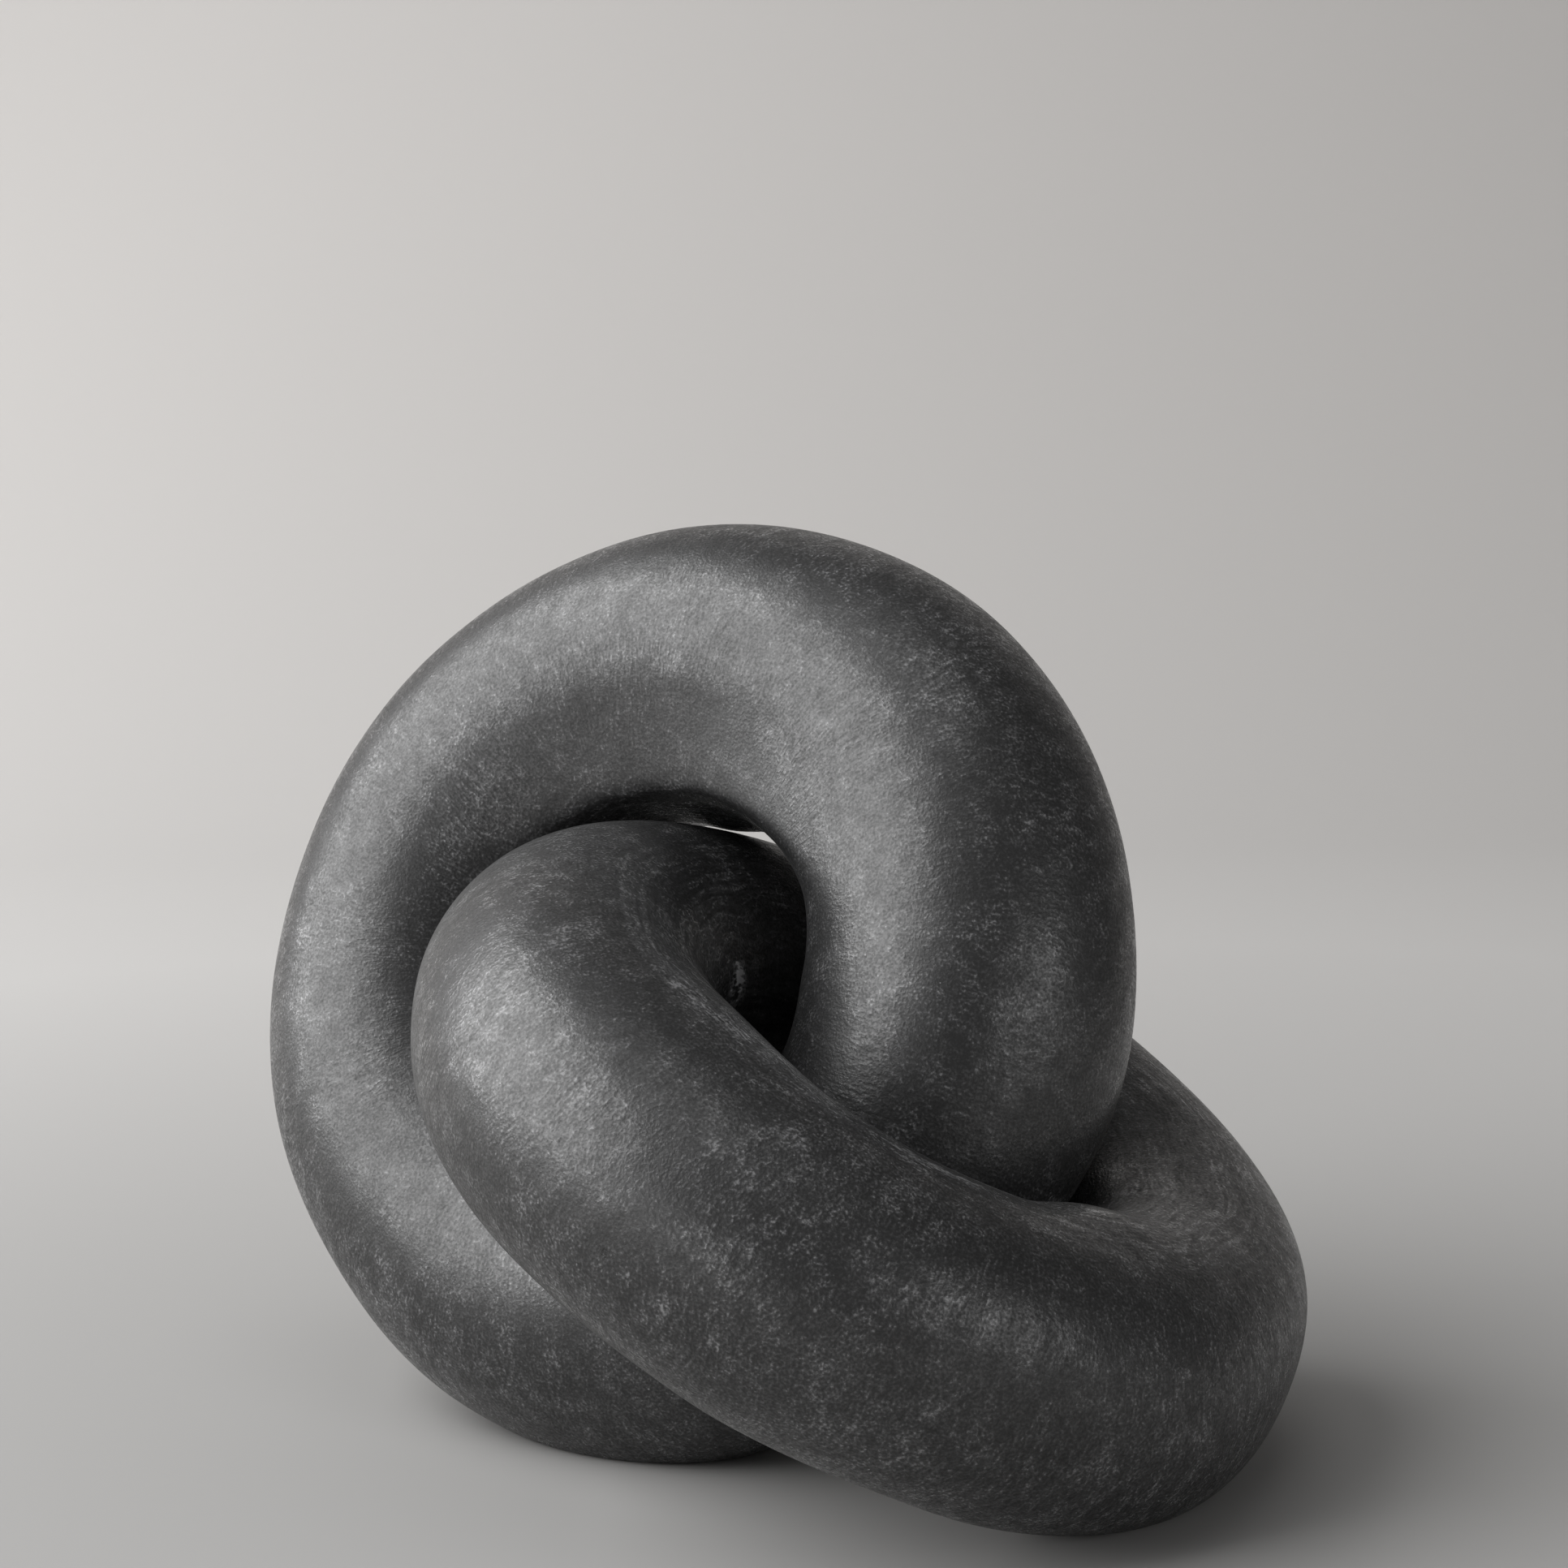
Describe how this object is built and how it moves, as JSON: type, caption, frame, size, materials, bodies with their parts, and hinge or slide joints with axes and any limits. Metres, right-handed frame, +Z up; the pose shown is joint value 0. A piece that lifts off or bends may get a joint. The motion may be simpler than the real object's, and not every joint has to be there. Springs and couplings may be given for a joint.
{
  "type": "stone knot sculpture",
  "caption": "Decorative knot of interlinked thick stone rings with a honed dark finish: an upright ring and a leaning ring pass through each other's eyes and rest on ground feet.",
  "frame": {"origin": "on the floor, under the middle of the pair's bounding box", "axes": "+Z up; +X to the right and +Y away from the viewer, as the picture sees the object"},
  "size_m": [0.226, 0.2166, 0.1919],
  "materials": {
    "dark_stone": "honed"
  },
  "bodies": {
    "upright_link": {"upright_link": "dark_stone"},
    "leaning_link": {"leaning_link": "dark_stone"}
  },
  "joints": [
    {"name": "leaning_link_turn", "type": "hinge", "parent": "upright_link", "child": "leaning_link", "pos_m": [0.02102, -0.00922, 0.06265], "axis": [0.4771, -0.1976, 0.8563], "continuous": true}
  ]
}
